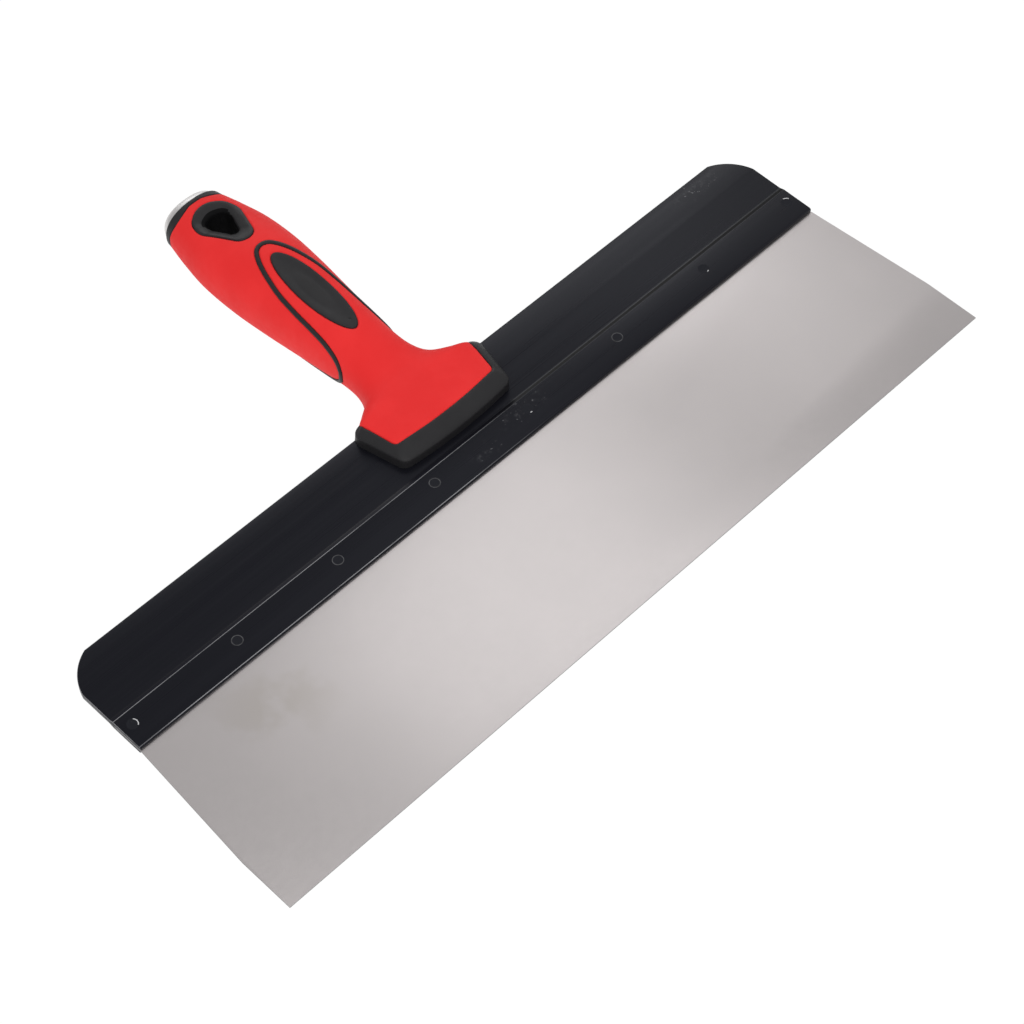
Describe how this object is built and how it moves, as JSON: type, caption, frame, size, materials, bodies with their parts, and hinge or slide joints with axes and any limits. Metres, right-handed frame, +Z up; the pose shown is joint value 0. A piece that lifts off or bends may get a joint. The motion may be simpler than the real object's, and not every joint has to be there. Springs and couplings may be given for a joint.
{
  "type": "drywall taping knife",
  "caption": "Wide drywall taping knife with a thin steel blade in a black backer, a red and black soft-grip handle, a hang hole and a metal hammer cap.",
  "frame": {"origin": "centre of the object's footprint on the surface it lies on, at the bottom of its box", "axes": "+X along the blade's working edge, +Y from the working edge towards the butt of the handle, +Z up. The tool rests on its working edge and on the belly of its grip, so the blade's plane rises 5.19 degrees towards +Y"},
  "size_m": [0.35, 0.2525, 0.0359],
  "materials": {
    "blade_steel": "satin ground spring steel",
    "backer_black": "black anodised extrusion, semi-gloss",
    "rivet_black": "black, flush with the jaw",
    "inner_steel": "plain steel, hidden",
    "core_plastic": "hard black plastic, hidden",
    "sleeve_red": "matt red soft-touch overmould",
    "insert_black": "matt black soft-touch overmould",
    "cap_metal": "satin bright metal"
  },
  "bodies": {
    "root": {"blade": "blade_steel", "backer": "backer_black", "blade_rivet_1": "rivet_black", "blade_rivet_2": "rivet_black", "blade_rivet_3": "rivet_black", "blade_rivet_4": "rivet_black", "blade_rivet_5": "rivet_black", "blade_rivet_6": "rivet_black", "blade_rivet_7": "rivet_black", "blade_rivet_8": "rivet_black", "tang": "inner_steel", "tang_rivet_1": "inner_steel", "tang_rivet_2": "inner_steel", "tang_rivet_3": "inner_steel", "handle_core": "core_plastic", "grip_sleeve": "sleeve_red", "collar": "insert_black", "thumb_pad_top": "insert_black", "thumb_pad_bottom": "insert_black", "accent_rib": "insert_black", "hang_hole_liner": "insert_black", "butt_ring": "insert_black", "hammer_cap": "cap_metal", "cap_pin": "inner_steel"}
  },
  "joints": []
}
